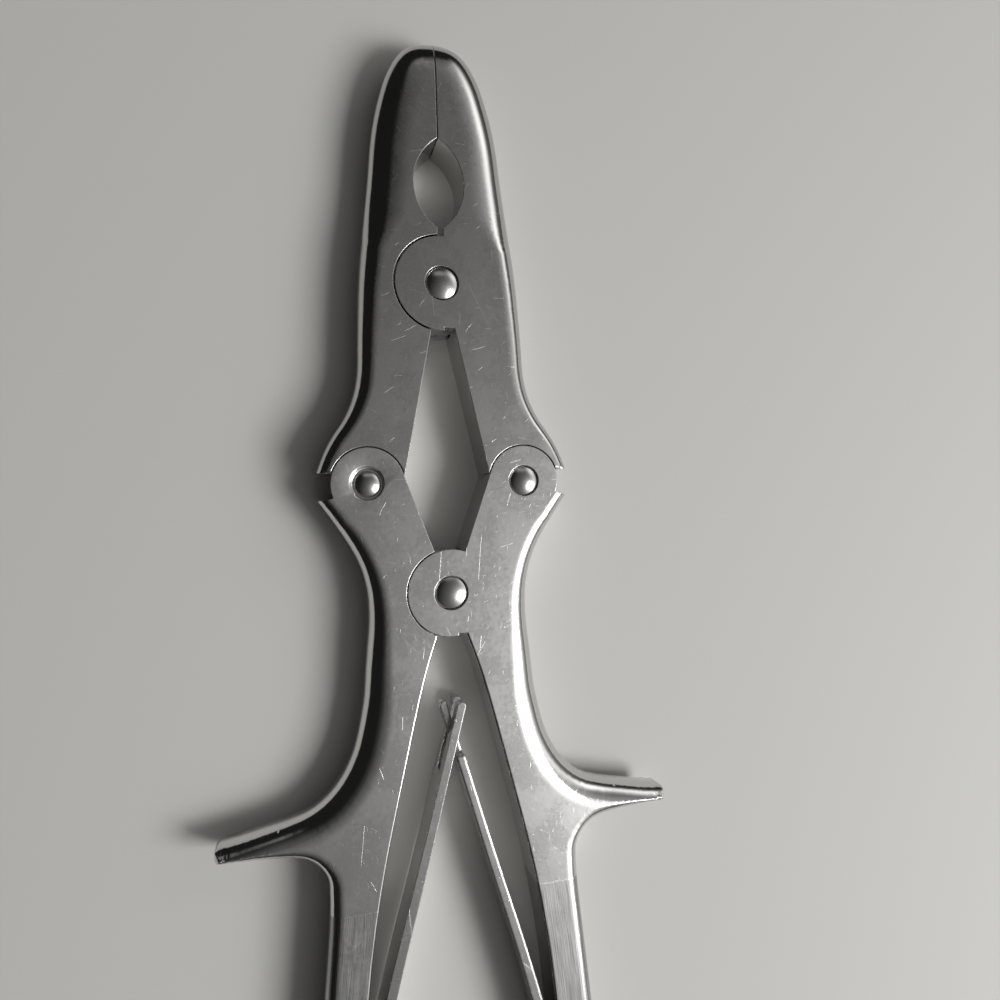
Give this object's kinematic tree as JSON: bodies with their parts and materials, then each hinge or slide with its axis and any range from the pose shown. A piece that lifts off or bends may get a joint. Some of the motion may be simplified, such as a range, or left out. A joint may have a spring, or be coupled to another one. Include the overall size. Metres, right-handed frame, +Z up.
{
  "type": "bone rongeur",
  "caption": "Double-action bone rongeur: cupped bullet-nosed jaws, half-lapped pivots, handles with finger hooks and interlocked leaf springs.",
  "frame": {"origin": "below the middle of the overall length and width, on the flat underside that the instrument lies on", "axes": "+X to the right seen from above, +Y along the instrument towards the jaws' nose, +Z up out of the upper face"},
  "size_m": [0.0836, 0.2746, 0.0094],
  "materials": {
    "jaw_steel": "satin stainless steel with fine random scratches",
    "handle_steel": "satin stainless steel, grips lined lengthwise",
    "pin_steel": "polished domed rivet heads",
    "spring_steel": "satin spring steel with bright edges",
    "screw_steel": "turned slotted screw heads"
  },
  "bodies": {
    "left_handle_body": {"handle_left": "handle_steel", "rear_pivot_pin": "pin_steel", "left_side_pin": "pin_steel", "left_spring_screw": "screw_steel"},
    "right_handle_body": {"handle_right": "handle_steel", "right_side_pin": "pin_steel", "right_spring_screw": "screw_steel"},
    "left_jaw_body": {"jaw_left": "jaw_steel"},
    "right_jaw_body": {"jaw_right": "jaw_steel", "front_pivot_pin": "pin_steel"},
    "forked_spring_body": {"forked_leaf_spring": "spring_steel"},
    "tongued_spring_body": {"tongued_leaf_spring": "spring_steel"}
  },
  "joints": [
    {"name": "handle_pivot", "type": "hinge", "parent": "left_handle_body", "child": "right_handle_body", "pos_m": [0, 0.0365, 0.0045], "axis": [0, 0, 1], "range_deg": [0, 36]},
    {"name": "left_jaw_pivot", "type": "hinge", "parent": "left_handle_body", "child": "left_jaw_body", "pos_m": [-0.0143, 0.0565, 0.0045], "axis": [0, 0, 1], "range_deg": [0, 28.6]},
    {"name": "right_jaw_pivot", "type": "hinge", "parent": "right_handle_body", "child": "right_jaw_body", "pos_m": [0.0143, 0.0565, 0.0045], "axis": [0, 0, 1], "range_deg": [-28.6, 0]},
    {"name": "forked_spring_flex", "type": "hinge", "parent": "left_handle_body", "child": "forked_spring_body", "pos_m": [-0.01835, -0.07406, 0.0045], "axis": [0, 0, 1], "range_deg": [-4.1, 0]},
    {"name": "tongued_spring_flex", "type": "hinge", "parent": "right_handle_body", "child": "tongued_spring_body", "pos_m": [0.01835, -0.07406, 0.0045], "axis": [0, 0, 1], "range_deg": [0, 4.1]}
  ],
  "couplings": [
    {"joint": "left_jaw_pivot", "follows": "handle_pivot", "ratio": 0.7928},
    {"joint": "right_jaw_pivot", "follows": "handle_pivot", "ratio": -0.7928},
    {"joint": "forked_spring_flex", "follows": "handle_pivot", "ratio": -0.1111},
    {"joint": "tongued_spring_flex", "follows": "handle_pivot", "ratio": 0.1111}
  ]
}
